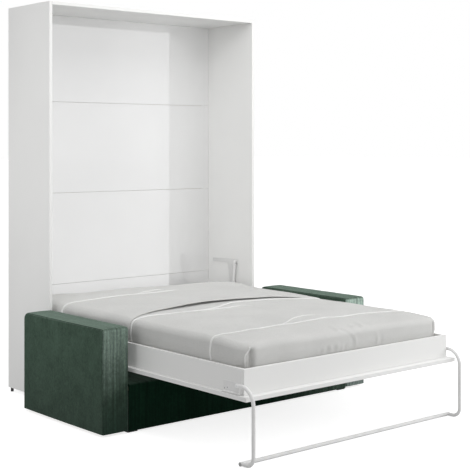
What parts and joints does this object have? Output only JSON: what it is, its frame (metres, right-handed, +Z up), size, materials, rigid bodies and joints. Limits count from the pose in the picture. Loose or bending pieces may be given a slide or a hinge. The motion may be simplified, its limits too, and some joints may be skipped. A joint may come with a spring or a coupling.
{
  "type": "wall bed with sofa",
  "caption": "White vertical wall bed folded down from its open cabinet over a low green corduroy sofa, with mattress, bed pivots, gas springs and a folding floor leg.",
  "frame": {"origin": "on the floor, at the middle of the whole object's footprint with the bed folded down", "axes": "+X to the right for someone who stands at the foot of the bed and looks at it, +Y towards the wall, +Z up"},
  "size_m": [1.904, 2.177, 2.275],
  "materials": {
    "white_board": "white melamine-faced chipboard, satin",
    "gloss_board": "white high-gloss faced board",
    "bare_board": "bare chipboard and softwood",
    "slat_wood": "laminated beech slats, matt",
    "painted_steel": "light grey powder coat, satin",
    "zinc_steel": "zinc plated",
    "dark_steel": "black painted steel",
    "black_plastic": "matt black",
    "mattress_foam": "knitted mattress ticking over foam",
    "grey_cotton": "pale grey woven cotton with white piping",
    "green_corduroy": "deep green fine-ribbed corduroy velvet",
    "foam": "upholstery foam"
  },
  "bodies": {
    "base": {"cabinet_side_left": "white_board", "cabinet_side_right": "white_board", "cabinet_top": "white_board", "cabinet_plinth": "white_board", "cabinet_stretcher": "white_board", "back_board_1": "gloss_board", "back_board_2": "gloss_board", "back_board_3": "gloss_board", "back_board_4": "gloss_board", "back_batten_1": "bare_board", "back_batten_2": "bare_board", "back_batten_3": "bare_board", "wall_rail": "zinc_steel", "cabinet_glide_left_front": "black_plastic", "cabinet_glide_left_rear": "black_plastic", "cabinet_glide_right_front": "black_plastic", "cabinet_glide_right_rear": "black_plastic", "hinge_plate_cabinet_left": "painted_steel", "hinge_plate_cabinet_right": "painted_steel", "pivot_pin_left": "dark_steel", "pivot_pin_right": "dark_steel", "sofa_arm_cover_left": "green_corduroy", "sofa_arm_cover_right": "green_corduroy", "sofa_arm_block_left": "foam", "sofa_arm_block_right": "foam", "sofa_arm_base_left": "bare_board", "sofa_arm_base_right": "bare_board", "sofa_glide_left_front": "black_plastic", "sofa_glide_left_rear": "black_plastic", "sofa_glide_right_front": "black_plastic", "sofa_glide_right_rear": "black_plastic", "seat_frame": "bare_board", "seat_deck": "bare_board", "seat_cover": "green_corduroy"},
    "bed": {"bed_front_panel": "white_board", "side_rail_left": "white_board", "side_rail_right": "white_board", "foot_rail": "white_board", "head_rail": "white_board", "slat_ledger_left": "bare_board", "slat_ledger_right": "bare_board", "centre_beam": "bare_board", "slat_roll": "slat_wood", "mattress": "mattress_foam", "foot_cover": "grey_cotton", "head_cover": "grey_cotton", "hinge_plate_bed_left": "painted_steel", "hinge_plate_bed_right": "painted_steel", "leg_bracket_left": "painted_steel", "leg_bracket_right": "painted_steel", "leg_pin_left": "zinc_steel", "leg_pin_right": "zinc_steel"},
    "leg": {"leg_tube_left": "painted_steel", "leg_tube_right": "painted_steel", "leg_bar": "painted_steel"},
    "spring_body_left": {"gas_spring_body_left": "painted_steel"},
    "spring_body_right": {"gas_spring_body_right": "painted_steel"},
    "spring_rod_left": {"gas_spring_rod_left": "zinc_steel"},
    "spring_rod_right": {"gas_spring_rod_right": "zinc_steel"}
  },
  "joints": [
    {"name": "bed_fold", "type": "hinge", "parent": "base", "child": "bed", "pos_m": [0, 0.743, 0.4205], "axis": [-1, 0, 0], "range_deg": [0, 90]},
    {"name": "leg_fold", "type": "hinge", "parent": "bed", "child": "leg", "pos_m": [0, -0.9715, 0.362], "axis": [-1, 0, 0], "range_deg": [0, 210]},
    {"name": "spring_swing_left", "type": "hinge", "parent": "base", "child": "spring_body_left", "pos_m": [-0.7345, 0.775, 0.69], "axis": [-1, 0, 0], "range_deg": [0, 8.95]},
    {"name": "spring_swing_right", "type": "hinge", "parent": "base", "child": "spring_body_right", "pos_m": [0.7345, 0.775, 0.69], "axis": [-1, 0, 0], "range_deg": [0, 8.95]},
    {"name": "spring_slide_left", "type": "slide", "parent": "spring_body_left", "child": "spring_rod_left", "axis": [0, 0.0883, -0.9961], "range_m": [0, 0.065]},
    {"name": "spring_slide_right", "type": "slide", "parent": "spring_body_right", "child": "spring_rod_right", "axis": [0, 0.0883, -0.9961], "range_m": [0, 0.065]}
  ],
  "couplings": [
    {"joint": "spring_swing_left", "follows": "bed_fold", "ratio": 0.0994},
    {"joint": "spring_swing_right", "follows": "bed_fold", "ratio": 0.0994},
    {"joint": "spring_slide_left", "follows": "bed_fold", "m_per_rad": 0.0412},
    {"joint": "spring_slide_right", "follows": "bed_fold", "m_per_rad": 0.0412}
  ]
}
